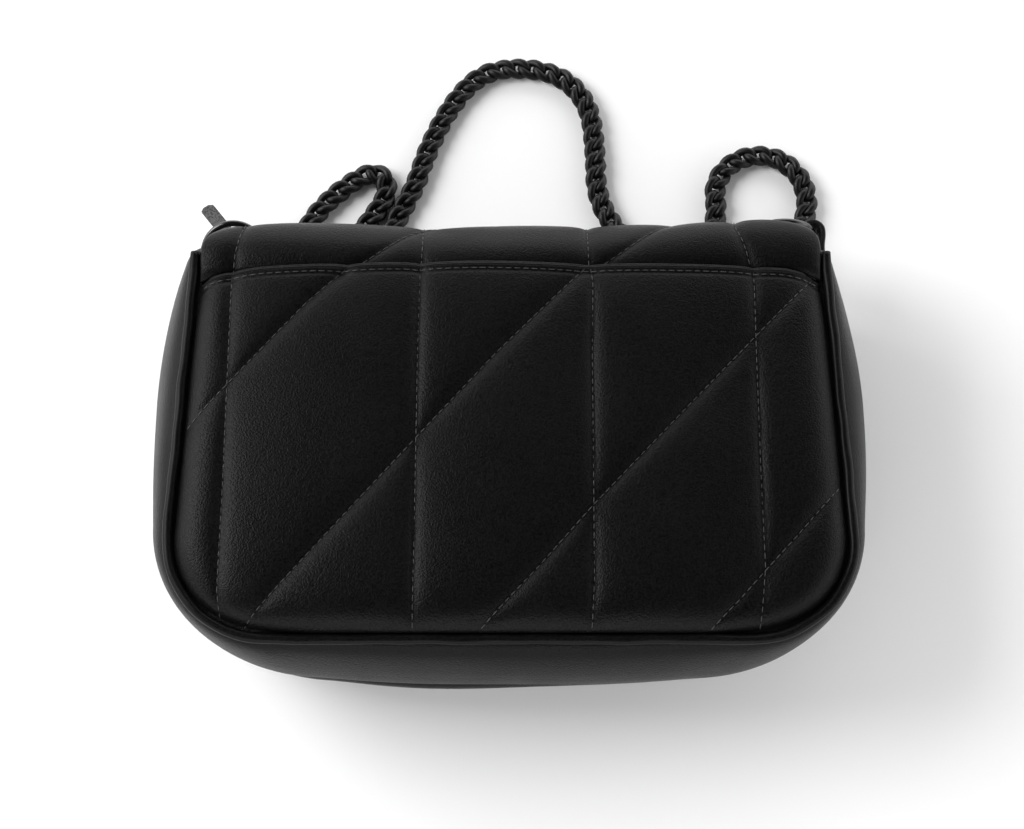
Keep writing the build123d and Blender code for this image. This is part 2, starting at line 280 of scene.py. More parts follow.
PANEL_ROWS = [
    [(-98.2, 53), (-97.9, 19), (-97.6, -25), (-97.9, -63), (-97.1, -72)],
    [(-31.8, 56), (-32.2, 20), (-32.3, -44), (-32.7, -79)],
    [(27.8, 57), (28.9, 48), (28.3, 20), (28.0, -60), (26.9, -80)],
    [(85.7, 54), (85.2, 20), (85.0, -25), (85.2, -56), (82.8, -79)],
    [(-115.5, -10), (-97.9, 9.7), (-71.6, 40), (-57.5, 54)],
    [(-92, -79), (-76.8, -61.2), (-32, -10), (-4.7, 21.2), (27.5, 55)],
    [(-12.5, -79), (8.8, -56.4), (28.2, -34), (56, -4), (84.8, 27), (108, 52)],
    [(63, -80), (76, -67), (85.1, -57), (97, -44), (114, -24.5)],
]
LAP_EDGE = [(-109.5, 49.0), (-105.3, 50.6), (-98, 52.1), (-88, 53.2), (-67, 54.3), (-45, 54.7),
            (-10, 55.0), (31, 54.4), (57, 53.9), (84, 53.6), (97, 53.0), (104, 51.9), (109, 50.0)]
PANEL_FOOT = -77.0
HALF_WIDTH = 113.5
SIDE_TAPER = 0.0416
CORNER_Y = -43.0
CORNER_R = 33.0
HEM_Z = 62.2


def panel_half(y):
    """Half width of the panel at height y, bottom corners rounded."""
    y = np.asarray(y, float)
    side = HALF_WIDTH - (y - CORNER_Y) * SIDE_TAPER
    drop = np.clip((CORNER_Y - y) / (CORNER_R + 1.0), 0, 1)
    corner = HALF_WIDTH - CORNER_R * (1 - np.sqrt(1 - drop ** 2))
    return np.where(y > CORNER_Y, side, corner)


def lap_y(x):
    """Height of the lapped edge across the panel."""
    pts = np.array(LAP_EDGE)
    return np.interp(x, pts[:, 0], pts[:, 1])


def back_height(x, y):
    """Outer surface of the padded back panel."""
    half = panel_half(np.clip(y, PANEL_FOOT, 70))
    from_side = half - np.abs(x)
    from_foot = y - PANEL_FOOT
    corner = np.minimum(from_side, from_foot)
    soft = -np.log(np.exp(-from_side / 6.0) + np.exp(-from_foot / 6.0)) * 6.0
    rim = np.clip(np.minimum(corner, soft) + 1.0, 0, None)
    crown = 1 - np.exp(-rim / 4.4)
    dome = 2.6 * (1 - (x / 125.0) ** 2) * (1 - ((y + 8) / 100.0) ** 2)
    to_lap = np.clip(lap_y(x) - y, 0, None)
    dip = 2.0 * np.exp(-to_lap / 7.0)
    lap_ridge = 0.90 * np.exp(-((to_lap - 0.50) / 0.45) ** 2)
    lap_groove = 0.30 * np.exp(-((to_lap - 2.9) / 0.7) ** 2)
    dip -= lap_ridge - lap_groove
    pads = quilt(x, y, PANEL_ROWS, 3.35, 12.0) * (1 - np.exp(-rim / 6.0))
    return 63.0 + 5.8 * crown + dome + pads - dip


rows_n = 170
cols_n = 250
lap_rows = 18
v = np.concatenate([np.linspace(0, 1 - 4.5 / 131, rows_n - lap_rows),
                    np.linspace(1 - 4.2 / 131, 1, lap_rows)])
span = np.linspace(-1, 1, cols_n)
span = np.sign(span) * (1 - (1 - np.abs(span)) ** 1.08)
foot_y = PANEL_FOOT + 0.02
half_rows = panel_half(foot_y + v * (54.0 - foot_y)) + 0.3
panel_x = half_rows[:, None] * span[None, :]
panel_y = foot_y + v[:, None] * (lap_y(panel_x) - foot_y)
panel_grid = np.stack([panel_x, panel_y, back_height(panel_x, panel_y)], 2)
# The upper edge rolls over and goes back under itself.
LAP_ROLL = [(0.3, -0.04), (0.6, -0.16), (0.88, -0.4), (1.05, -0.75), (1.1, -1.2), (0.8, -1.9), (-1.5, -2.1)]
lip = []
for dy, dz in LAP_ROLL:
    edge = panel_grid[-1].copy()
    edge[:, 1] += dy
    edge[:, 2] += dz
    lip.append(edge)
panel_grid = np.concatenate([panel_grid, np.array(lip)], 0)
# The other three edges go down into the piping seam.
skirt_left = panel_grid[:, :1].copy()
skirt_left[:, :, 2] = HEM_Z
skirt_right = panel_grid[:, -1:].copy()
skirt_right[:, :, 2] = HEM_Z
panel_grid = np.concatenate([skirt_left, panel_grid, skirt_right], 1)
skirt_foot = panel_grid[:1].copy()
skirt_foot[:, :, 2] = HEM_Z
panel_grid = np.concatenate([skirt_foot, panel_grid], 0)
back_quilt = surface("back_quilt", panel_grid, bag_leather)
thick = back_quilt.modifiers.new("leather_thickness", "SOLIDIFY")
thick.thickness = 0.0012
thick.offset = -1
finished(back_quilt)
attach(back_quilt, "bag")
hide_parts("back_panel", "back_padding")

# ---------------------------------------------------------------------------
# Piping: a cord wrapped in the same leather, sewn in round both panels.
# It lies between the panel edge and the gusset.
# ---------------------------------------------------------------------------
piping_leather = leather("piping_leather", 0.002, 0.30, 0.15)
BAG_FOOT = -76.0
FRONT_CORNER = 56.0
FRONT_LIFT = 3.0
WELT_SIDES = 18


def rim_path(off, y_top, corner=CORNER_R, lift=0.0):
    """Points down one side, round the foot and up the other side."""
    r = corner + off
    turn_y = BAG_FOOT + lift + corner
    sides, turns, foot_points = 76, 38, 52
    top = HALF_WIDTH - (y_top - CORNER_Y) * SIDE_TAPER + off
    low = HALF_WIDTH + off
    pts = []
    for i in range(sides):
        t = i / sides
        pts.append((-(top + (low - top) * t), y_top + (turn_y - y_top) * t))
    for i in range(turns):
        a = math.pi / 2 * i / turns
        pts.append((-(low - r) - r * math.cos(a), turn_y - r * math.sin(a)))
    for i in range(foot_points):
        pts.append((-(low - r) * (1 - i / foot_points), turn_y - r))
    right = [(-x, y) for x, y in reversed(pts)]
    return np.array(pts + [(0.0, turn_y - r)] + right)


def rim_normals(path):
    """Unit vectors pointing out of the bag along a rim."""
    run = np.gradient(path, axis=0)
    run /= np.linalg.norm(run, axis=1)[:, None]
    out = np.stack([run[:, 1], -run[:, 0]], 1)
    return -out if out[len(out) // 2, 1] > 0 else out


def welt(name, path, z, radius, material):
    """Round cord following a rim path, slightly uneven as sewn by hand."""
    n = len(path)
    out = rim_normals(path)
    ring = np.linspace(0, 2 * math.pi, WELT_SIDES, endpoint=False)
    t = np.arange(n)
    wob = 0.12 * np.sin(t * 0.21) + 0.08 * np.sin(t * 0.53 + 1)
    grid = np.zeros((n, WELT_SIDES, 3))
    for k, a in enumerate(ring):
        r = radius * (1 + 0.03 * np.sin(t * 0.37 + 2 * a))
        grid[:, k, 0] = path[:, 0] + out[:, 0] * (r * math.cos(a) + wob)
        grid[:, k, 1] = path[:, 1] + out[:, 1] * (r * math.cos(a) + wob)
        grid[:, k, 2] = z + r * math.sin(a) + 0.5 * wob
    caps = [np.repeat(grid[end].mean(0)[None, None, :], WELT_SIDES, 1) for end in (0, -1)]
    grid = np.concatenate([caps[0], grid, caps[1]], 0)
    piece = surface(name, grid, material, close_u=True)
    return finished(piece, weld=1e-6)


back_welt = welt("back_welt", rim_path(2.95, 62.0), 64.0, 1.75, piping_leather)
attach(back_welt, "bag")
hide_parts("back_piping")
front_welt = welt("front_welt", rim_path(1.6, 64.0, FRONT_CORNER, FRONT_LIFT), 9.3, 1.8, piping_leather)
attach(front_welt, "bag")
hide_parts("front_piping")

# ---------------------------------------------------------------------------
# Gusset: one long strip of leather round the sides and foot, swelling out past
# the piping, closed and rounded over at its two upper ends beside the flap.
# ---------------------------------------------------------------------------
SECTION = [(-5.0, 61.6), (-1.0, 61.9), (2.2, 61.9), (4.9, 60.9), (7.4, 57.6), (9.6, 52.6), (11.6, 46.0),
           (12.8, 38.5), (12.9, 31.0), (11.7, 24.0), (9.6, 18.2), (7.0, 14.2), (4.4, 12.0), (2.2, 11.2),
           (-1.0, 11.2), (-5.0, 11.5)]


def smooth_line(points, count):
    """Even, smooth run of points through a short list."""
    p = np.array(points, float)
    s = np.concatenate([[0], np.cumsum(np.linalg.norm(np.diff(p, axis=0), axis=1))])
    fine = np.linspace(0, s[-1], count)
    out = np.stack([np.interp(fine, s, p[:, k]) for k in range(p.shape[1])], 1)
    for _ in range(int(count / len(points) * 1.6)):
        inner = (out[:-2] + 2 * out[1:-1] + out[2:]) / 4
        out[1:-1] = inner
    return out


section = smooth_line(SECTION, 76)
rim = rim_path(0.0, 71.3)
low_rim = rim_path(0.0, 71.3, FRONT_CORNER, FRONT_LIFT)
n_rim = len(rim)
outward = rim_normals(rim)
low_outward = rim_normals(low_rim)
arc = np.concatenate([[0], np.cumsum(np.linalg.norm(np.diff(rim, axis=0), axis=1))])
total = arc[-1]
from_end = np.minimum(arc, total - arc)
# The strip narrows to nothing over its last stretch at both ends.
END_RUN = 11.0
close = np.sqrt(np.clip(1 - np.clip((END_RUN - from_end) / END_RUN, 0, 1) ** 2.2, 0.0004, 1))
# How far the strip swells out, against the distance along it.
FULLNESS_RUN = 490.0
FULLNESS = [(0, 4.6), (5, 7.6), (12, 9.7), (30, 13.0), (55, 14.8), (85, 13.8), (107, 11.4),
            (120, 9.4), (140, 7.4), (166, 8.2), (190, 10.2), (215, 11.4), (245, 11.7), (275, 11.4),
            (300, 10.2), (324, 8.0), (350, 6.9), (370, 8.2), (383, 10.4), (405, 13.0), (435, 13.8),
            (460, 11.4), (478, 8.4), (485, 6.4), (490, 3.8)]
marks = np.array(FULLNESS, float)
fullness = np.interp(arc, marks[:, 0] * total / FULLNESS_RUN, marks[:, 1])
fullness = np.convolve(np.pad(fullness, 8, mode="edge"), np.ones(17) / 17, mode="valid")
MID_Z = 36.7
SEAM_OFF = 2.0
left_foot = np.exp(-((arc - 0.42 * total) / 55.0) ** 2)
gusset_grid = np.zeros((n_rim, len(section), 3))
for j, (off, z) in enumerate(section):
    height = (z - MID_Z) / 25.2
    swell = 2.4 + (off - 2.4) * (fullness - 2.4) / 10.5
    slack = 0.4 * np.sin(arc * 0.043 + 2.2 * height + 0.6) * (1 - min(1.0, abs(height))) ** 0.6
    crease = -2.1 * left_foot * math.exp(-((height + 0.32) / 0.11) ** 2)
    fold = crease + 1.3 * left_foot * math.exp(-((height + 0.62) / 0.2) ** 2)
    reach = (swell + slack + fold) if off > 2.5 else np.full(n_rim, off)
    reach = SEAM_OFF + (reach - SEAM_OFF) * close
    down = np.clip((61.9 - z) / 50.9, 0, 1) ** 1.15
    gusset_grid[:, j, :2] = ((1 - down) * (rim + outward * reach[:, None])
                             + down * (low_rim + low_outward * reach[:, None]))
    gusset_grid[:, j, 2] = MID_Z + (z - MID_Z) * close
END_DROP_RIGHT = 4.4
END_DROP_LEFT = 3.2
end_drop = END_DROP_RIGHT * np.exp(-(total - arc) / 8.0) + END_DROP_LEFT * np.exp(-arc / 8.0)
gusset_grid[:, :, 1] -= end_drop[:, None]
gusset = surface("gusset_strip", gusset_grid, bag_leather)
thick = gusset.modifiers.new("leather_thickness", "SOLIDIFY")
thick.thickness = 0.0016
thick.offset = 1
finished(gusset, weld=2e-5)
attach(gusset, "bag")
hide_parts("gusset")
# The lining follows the strip, a little inside it.
LINING_GAP = 2.3
lining_rows = [j for j, (off, z) in enumerate(section) if off > SEAM_OFF]
lining_grid = gusset_grid[7:-7, lining_rows].copy()
lining_grid[:, :, :2] -= outward[7:-7, None, :] * LINING_GAP
lining_grid[:, :, 2] = MID_Z + (lining_grid[:, :, 2] - MID_Z) * 0.90
lining_grid[:, :, 1] = np.minimum(lining_grid[:, :, 1], 60.8)

# ---------------------------------------------------------------------------
# Flap: quilted like the panel, sewn under the lap, it goes over the mouth and
# lies under the bag. Side notches let the strap rings through.
# ---------------------------------------------------------------------------
FLAP_LINE = [(50.5, 67.0), (53.6, 67.6), (56.5, 68.9), (60, 69.3), (66, 69.0), (70.8, 68.2),
             (75.2, 65.6), (78.3, 61.5), (79.6, 57.5), (80, 53), (80, 34), (80, 16), (78.6, 8.5),
             (74.3, 3.0), (66, 0.3), (58, 0.0), (20, 0.0), (-20, 0.0), (-58.5, 0.0)]
flap_line = smooth_line(FLAP_LINE, 240)
flap_run = np.concatenate([[0], np.cumsum(np.linalg.norm(np.diff(flap_line, axis=0), axis=1))])
flap_tan = np.gradient(flap_line, axis=0)
flap_tan /= np.linalg.norm(flap_tan, axis=1)[:, None]
flap_out = np.stack([-flap_tan[:, 1], flap_tan[:, 0]], 1)
if flap_out[40, 1] < 0:
    flap_out = -flap_out
FLAP_ROWS = [
    [(-98.2, 0), (-97.6, 12), (-95.5, 28), (-95.5, 230)],
    [(-31.8, 0), (-31.3, 20), (-31.0, 230)],
    [(27.8, 0), (27.5, 20), (27.0, 230)],
    [(85.7, 0), (83.5, 12), (80.5, 24), (79.5, 230)],
    [(-57.5, 2), (-37.5, 26), (152, 215)],
    [(27.5, 2), (51, 27), (200, 176)],
    [(-143, 2), (-10, 135), (90, 235)],
]


def flap_half(s):
    """Half width of the flap along its run, with the side notches."""
    marks = np.array([0, 8, 16, 21, 25, 29, 33, 37, 40, 78, 84, 92, 97, 170, 190, 202, 210, 214.5])
    halves = np.array([109.0, 109.6, 109.6, 108.6, 106.0, 101.5, 95.5, 90.0, 87.0, 86.0, 88.0, 97.0, 104.5,
                       108.0, 106.5, 101.0, 92.0, 80.0])
    return np.interp(s * 214.5 / flap_run[-1], marks, halves)


flap_cols = 200
lat = np.linspace(-1, 1, flap_cols)
half_s = flap_half(flap_run)
half_s = np.convolve(np.pad(half_s, 3, mode="edge"), np.ones(7) / 7, mode="valid")
flap_x = half_s[:, None] * lat[None, :]
flap_s = np.repeat(flap_run[:, None], flap_cols, 1)
edge_gap = half_s[:, None] * (1 - np.abs(lat[None, :]))
end_gap = flap_run[-1] - flap_s
body_of_pad = 1 - np.exp(-np.minimum(edge_gap, end_gap) / 4.5)
FLAP_SWELL = 2.6
pads = quilt(flap_x, flap_s, FLAP_ROWS, FLAP_SWELL, 12.0)
puff = (pads - FLAP_SWELL) * body_of_pad - FLAP_SWELL * (1 - body_of_pad)
# The empty mouth lets the flap sink a little as it turns over it.
SAG_X = [-112, -98, -60, -5, 30, 60, 85, 112]
SAG = [3.2, 2.6, 4.6, 6.6, 5.6, 3.2, 0.6, 1.0]
sag = np.interp(flap_x, SAG_X, SAG) * np.exp(-((flap_s - 22) / 15.0) ** 2)
outer_y = flap_line[:, 0][:, None] + flap_out[:, 0][:, None] * puff - sag
outer_z = flap_line[:, 1][:, None] + flap_out[:, 1][:, None] * puff
outer_y[:6] = np.minimum(outer_y[:6], lap_y(flap_x[:6]) + 1.0)
FLAP_EDGE_THICK = 1.6
FLAP_PAD_THICK = 3.2
thickness = FLAP_EDGE_THICK + FLAP_PAD_THICK * body_of_pad
inner_y = outer_y - flap_out[:, 0][:, None] * thickness
inner_z = outer_z - flap_out[:, 1][:, None] * thickness
outer = np.stack([flap_x, outer_y, outer_z], 2)
inner = np.stack([flap_x * 0.999, inner_y, inner_z], 2)
middle = (outer + inner) / 2
rim_l = middle[:, :1].copy()
rim_l[:, :, 0] -= 0.7
rim_r = middle[:, -1:].copy()
rim_r[:, :, 0] += 0.7
wrap = np.concatenate([outer, rim_r, inner[:, ::-1], rim_l], 1)
caps = [(wrap[row] + wrap[row][:, ::-1]) / 2 for row in (slice(0, 1), slice(-1, None))]
wrap = np.concatenate([caps[0], wrap, caps[1]], 0)
flap = surface("flap_quilt", wrap, bag_leather, close_u=True)
finished(flap, weld=2e-5)
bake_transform(flap)
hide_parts("flap_outer", "flap_padding", "flap_lining", "flap_binding")

# ---------------------------------------------------------------------------
# Front panel: padded leather like the back, mostly hidden under the flap.
# Its edge is held in the lower piping.
# ---------------------------------------------------------------------------
front_rows = 60
front_cols = 120
fv = np.linspace(0, 1, front_rows)
fspan = np.linspace(-1, 1, front_cols)
front_foot = BAG_FOOT + FRONT_LIFT
fy = front_foot + fv[:, None] * (68.8 - front_foot) * np.ones((1, front_cols))
shoulder = np.clip((fy[:, 0] - 58.8) / 10.0, 0, 1)
front_turn = np.clip((front_foot + FRONT_CORNER - fy[:, 0]) / (FRONT_CORNER + 1.0), 0, 1)
front_half = np.minimum(HALF_WIDTH - (fy[:, 0] - CORNER_Y) * SIDE_TAPER, HALF_WIDTH)
front_half = front_half - FRONT_CORNER * (1 - np.sqrt(1 - front_turn ** 2))
front_half = front_half - 0.3 - 10.0 * (1 - np.sqrt(1 - shoulder ** 2 * 0.998))
fx = front_half[:, None] * fspan[None, :]
f_rim = np.minimum(front_half[:, None] - np.abs(fx), np.minimum(fy - front_foot, 69.4 - fy))
f_low = 10.4 - 3.7 * (1 - np.exp(-np.clip(f_rim, 0, None) / 5.0))
f_low = f_low + np.clip(fy - 52.0, 0, None) ** 2 * 0.0085
f_under = np.stack([fx, fy, f_low], 2)
f_over = np.stack([fx, fy, np.full(fx.shape, 11.0)], 2)
f_wrap = np.concatenate([f_under, f_over[:, ::-1]], 1)
front_pad = surface("front_quilt", f_wrap, bag_leather, close_u=True)
finished(front_pad, weld=2e-5)
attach(front_pad, "bag")
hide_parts("front_panel", "front_padding")

# ---------------------------------------------------------------------------
# Thread: black bonded thread in short lock stitches along every quilted row
# and along the lapped edge of the back panel.
# ---------------------------------------------------------------------------
thread = bpy.data.materials.new("black_thread")
thread.use_nodes = True
t_nodes = thread.node_tree.nodes
t_link = thread.node_tree.links.new
t_bsdf = t_nodes["Principled BSDF"]
t_where = t_nodes.new("ShaderNodeTexCoord")
t_twist = t_nodes.new("ShaderNodeTexWave")
t_twist.bands_direction = "DIAGONAL"
t_twist.inputs["Scale"].default_value = 900.0
t_twist.inputs["Distortion"].default_value = 2.0
t_link(t_where.outputs["Object"], t_twist.inputs["Vector"])
t_bump = t_nodes.new("ShaderNodeBump")
t_bump.inputs["Strength"].default_value = 0.5
t_bump.inputs["Distance"].default_value = 0.0001
t_link(t_twist.outputs["Fac"], t_bump.inputs["Height"])
t_link(t_bump.outputs["Normal"], t_bsdf.inputs["Normal"])
t_ramp = t_nodes.new("ShaderNodeValToRGB")
t_ramp.color_ramp.elements[0].color = (0.006, 0.006, 0.006, 1)
t_ramp.color_ramp.elements[1].color = (0.045, 0.045, 0.046, 1)
t_link(t_twist.outputs["Fac"], t_ramp.inputs["Fac"])
t_link(t_ramp.outputs["Color"], t_bsdf.inputs["Base Color"])
t_bsdf.inputs["Roughness"].default_value = 0.42

STITCH_PITCH = 3.0
STITCH_LENGTH = 2.3
STITCH_THICK = 0.36
STITCH_PROUD = 0.16


def stitch_tree(name, seed):
    """Node group that lays stitches evenly along curves."""
    tree = bpy.data.node_groups.new(name, "GeometryNodeTree")
    tree.interface.new_socket("Rows", in_out="INPUT", socket_type="NodeSocketGeometry")
    sizes = {"Pitch": STITCH_PITCH, "Length": STITCH_LENGTH, "Thickness": STITCH_THICK}
    for label, start in sizes.items():
        socket = tree.interface.new_socket(label, in_out="INPUT", socket_type="NodeSocketFloat")
        socket.default_value = start * MM
    tree.interface.new_socket("Stitches", in_out="OUTPUT", socket_type="NodeSocketGeometry")
    n = tree.nodes
    into = n.new("NodeGroupInput")
    out = n.new("NodeGroupOutput")
    spread = n.new("GeometryNodeCurveToPoints")
    spread.mode = "LENGTH"
    thread_shape = n.new("GeometryNodeMeshUVSphere")
    thread_shape.inputs["Segments"].default_value = 6
    thread_shape.inputs["Rings"].default_value = 5
    thread_shape.inputs["Radius"].default_value = 0.5
    size = n.new("ShaderNodeCombineXYZ")
    stretch = n.new("GeometryNodeTransform")
    place = n.new("GeometryNodeInstanceOnPoints")
    jitter = n.new("FunctionNodeRandomValue")
    jitter.data_type = "FLOAT"
    jitter.inputs[2].default_value = 0.88
    jitter.inputs[3].default_value = 1.08
    jitter.inputs["Seed"].default_value = seed
    real = n.new("GeometryNodeRealizeInstances")
    paint = n.new("GeometryNodeSetMaterial")
    paint.inputs["Material"].default_value = thread
    smooth = n.new("GeometryNodeSetShadeSmooth")
    link = tree.links.new
    link(into.outputs["Rows"], spread.inputs["Curve"])
    link(into.outputs["Pitch"], spread.inputs["Length"])
    link(into.outputs["Thickness"], size.inputs["X"])
    link(into.outputs["Thickness"], size.inputs["Y"])
    link(into.outputs["Length"], size.inputs["Z"])
    link(thread_shape.outputs["Mesh"], stretch.inputs["Geometry"])
    link(size.outputs["Vector"], stretch.inputs["Scale"])
    link(spread.outputs["Points"], place.inputs["Points"])
    link(stretch.outputs["Geometry"], place.inputs["Instance"])
    link(spread.outputs["Rotation"], place.inputs["Rotation"])
    link(jitter.outputs[1], place.inputs["Scale"])
    link(place.outputs["Instances"], real.inputs["Geometry"])
    link(real.outputs["Geometry"], smooth.inputs["Geometry"])
    link(smooth.outputs["Geometry"], paint.inputs["Geometry"])
    link(paint.outputs["Geometry"], out.inputs["Stitches"])
    return tree


def sew(name, lines, body, seed):
    """Stitches along lines of points in millimetres, as one plain mesh."""
    data = bpy.data.curves.new(name, "CURVE")
    data.dimensions = "3D"
    for line in lines:
        spline = data.splines.new("POLY")
        spline.points.add(len(line) - 1)
        flat = np.concatenate([np.array(line) * MM, np.ones((len(line), 1))], 1)
        spline.points.foreach_set("co", flat.ravel())
    piece = bpy.data.objects.new(name, data)
    scene.collection.objects.link(piece)
    work = piece.modifiers.new("stitches", "NODES")
    work.node_group = stitch_tree(name + "_tree", seed)
    shape = piece.evaluated_get(bpy.context.evaluated_depsgraph_get())
    mesh = bpy.data.meshes.new_from_object(shape)
    bpy.data.objects.remove(piece)
    row = bpy.data.objects.new(name, mesh)
    scene.collection.objects.link(row)
    if body == "flap":
        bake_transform(row)
    else:
        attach(row, body)


def along_row(row, step=1.0):
    """Evenly spaced points along a row, about a step apart."""
    pts = []
    for (ax, ay), (bx, by) in zip(row, row[1:]):
        n = max(2, int(math.hypot(bx - ax, by - ay) / step))
        for i in range(n):
            pts.append((ax + (bx - ax) * i / n, ay + (by - ay) * i / n))
    pts.append(row[-1])
    return np.array(pts)


panel_lines = []
for row in PANEL_ROWS:
    p = along_row(row)
    keep = (p[:, 1] < lap_y(p[:, 0]) - 1.2) & (p[:, 1] > PANEL_FOOT + 1.0)
    keep &= np.abs(p[:, 0]) < panel_half(p[:, 1]) - 1.0
    p = p[keep]
    z = back_height(p[:, 0], p[:, 1]) + STITCH_PROUD
    panel_lines.append(np.stack([p[:, 0], p[:, 1], z], 1))
lap_x = np.arange(-107.5, 107.0, 1.0)
lap_line = np.stack([lap_x, lap_y(lap_x) - 2.1, np.zeros(len(lap_x))], 1)
lap_line[:, 2] = back_height(lap_line[:, 0], lap_line[:, 1]) + STITCH_PROUD
panel_lines.append(lap_line)
sew("panel_stitches", panel_lines, "bag", 3)

# Flap rows are cut where they would cross a notch.
flap_lines = []
flap_parts = []
for row in FLAP_ROWS:
    p = along_row(row)
    inside = (p[:, 1] > 3.0) & (p[:, 1] < flap_run[-1] - 4)
    half_here = np.interp(p[:, 1], flap_run, half_s)
    inside &= np.abs(p[:, 0]) < half_here - 3.0
    cuts = np.flatnonzero(np.diff(inside.astype(int))) + 1
    pieces = np.split(p, cuts)
    flags = np.split(inside, cuts)
    flap_parts += [q for q, kept in zip(pieces, flags) if kept[0] and len(q) > 4]
for p in flap_parts:
    i = np.interp(p[:, 1], flap_run, np.arange(len(flap_run)))
    j = (p[:, 0] / np.interp(p[:, 1], flap_run, half_s) + 1) / 2 * (flap_cols - 1)
    i0 = np.clip(i.astype(int), 0, len(flap_run) - 2)
    j0 = np.clip(j.astype(int), 0, flap_cols - 2)
    fi = (i - i0)[:, None]
    fj = (j - j0)[:, None]
    spot = (outer[i0, j0] * (1 - fi) * (1 - fj) + outer[i0 + 1, j0] * fi * (1 - fj)
            + outer[i0, j0 + 1] * (1 - fi) * fj + outer[i0 + 1, j0 + 1] * fi * fj)
    normal = np.stack([np.zeros(len(i0)), flap_out[i0, 0], flap_out[i0, 1]], 1)
    flap_lines.append(spot + normal * STITCH_PROUD)
sew("flap_stitches", flap_lines, "flap", 5)

# ---------------------------------------------------------------------------
# Chain strap: matt black curb chain, every link twisted, lying in loose loops.
# It runs from the left ring to the right ring.
# ---------------------------------------------------------------------------
CHAIN_ROUTE = [
    (-90.6, 83.0, 13.6), (-83.0, 91.0, 3.4), (-76.0, 107.5, 2.8), (-62.5, 120.5, 2.8),
    (-52.5, 125.5, 2.8), (-47.0, 117.0, 2.8), (-54.5, 103.5, 2.8),
    (-63.0, 93.5, 2.8), (-56.5, 84.6, 2.8), (-48.5, 88.5, 2.8),
    (-45.5, 102.0, 2.8), (-37.5, 118.0, 2.8), (-33.0, 134.0, 2.8),
    (-24.5, 153.0, 2.8), (-12.5, 168.5, 2.8), (4.0, 171.5, 2.8),
    (21.0, 167.5, 2.8), (31.5, 154.0, 2.8), (33.5, 134.0, 2.8),
    (33.5, 114.0, 2.8), (42.0, 97.0, 2.8), (56.0, 88.5, 2.8),
    (74.0, 89.5, 2.8), (81.0, 104.0, 2.8), (79.5, 119.5, 2.8),
    (88.5, 130.5, 2.8), (102.5, 132.5, 2.8), (113.5, 124.5, 2.8),
    (117.0, 111.0, 2.8), (112.5, 98.0, 3.0), (103.5, 90.5, 8.4), (100.6, 85.7, 18.3),
]
CHAIN_WIDTH = 8.6
CHAIN_WIRE = 3.05
CHAIN_PITCH = 6.2
LINK_STEPS = 26
WIRE_STEPS = 9
LINK_TWIST = math.radians(46)

chain_black = bpy.data.materials.new("chain_black")
chain_black.use_nodes = True
c_nodes = chain_black.node_tree.nodes
c_link = chain_black.node_tree.links.new
c_bsdf = c_nodes["Principled BSDF"]
c_where = c_nodes.new("ShaderNodeTexCoord")
c_noise = c_nodes.new("ShaderNodeTexNoise")
c_noise.inputs["Scale"].default_value = 900.0
c_noise.inputs["Detail"].default_value = 4.0
c_link(c_where.outputs["Object"], c_noise.inputs["Vector"])
c_bump = c_nodes.new("ShaderNodeBump")
c_bump.inputs["Strength"].default_value = 0.12
c_bump.inputs["Distance"].default_value = 0.0001
c_link(c_noise.outputs["Fac"], c_bump.inputs["Height"])
c_link(c_bump.outputs["Normal"], c_bsdf.inputs["Normal"])
c_rough = c_nodes.new("ShaderNodeMapRange")
c_rough.inputs["To Min"].default_value = 0.38
c_rough.inputs["To Max"].default_value = 0.52
c_link(c_noise.outputs["Fac"], c_rough.inputs["Value"])
c_link(c_rough.outputs["Result"], c_bsdf.inputs["Roughness"])
c_bsdf.inputs["Base Color"].default_value = (0.0022, 0.0022, 0.0023, 1)
c_bsdf.inputs["Specular IOR Level"].default_value = 0.26

route_data = bpy.data.curves.new("chain_line", "CURVE")
route_data.dimensions = "3D"
spline = route_data.splines.new("NURBS")
spline.points.add(len(CHAIN_ROUTE) - 1)
for point, at in zip(spline.points, CHAIN_ROUTE):
    point.co = (at[0] * MM, at[1] * MM, at[2] * MM, 1)
spline.order_u = 3
spline.use_endpoint_u = True
spline.resolution_u = 24
route_obj = bpy.data.objects.new("chain_line", route_data)
scene.collection.objects.link(route_obj)
route_shape = route_obj.evaluated_get(bpy.context.evaluated_depsgraph_get())
line_mesh = bpy.data.meshes.new_from_object(route_shape)
line = np.array([v.co[:] for v in line_mesh.vertices])
line_run = np.concatenate([[0], np.cumsum(np.linalg.norm(np.diff(line, axis=0), axis=1))])
chain_length = float(line_run[-1])

long_r = (CHAIN_PITCH + CHAIN_WIRE * 0.86) / 2
wide_r = (CHAIN_WIDTH - CHAIN_WIRE) / 2
link_turn = np.linspace(0, 2 * math.pi, LINK_STEPS, endpoint=False)
wire_turn = np.linspace(0, 2 * math.pi, WIRE_STEPS, endpoint=False)
mid = np.stack([long_r * np.cos(link_turn), wide_r * np.sin(link_turn), 0 * link_turn], 1)
twist = LINK_TWIST * mid[:, 0] / long_r
mid = np.stack([mid[:, 0], mid[:, 1] * np.cos(twist), mid[:, 1] * np.sin(twist)], 1)
ahead = np.roll(mid, -1, 0) - np.roll(mid, 1, 0)
ahead /= np.linalg.norm(ahead, axis=1)[:, None]
side = np.cross(ahead, mid)
side /= np.linalg.norm(side, axis=1)[:, None]
up = np.cross(side, ahead)
link_grid = np.zeros((LINK_STEPS + 1, WIRE_STEPS, 3))
for k, a in enumerate(wire_turn):
    loop = mid + (side * math.cos(a) + up * math.sin(a)) * CHAIN_WIRE / 2
    link_grid[:-1, k] = loop
    link_grid[-1, k] = loop[0]
chain_link = surface("chain_link", link_grid, chain_black, close_u=True)
finished(chain_link, weld=1e-6)

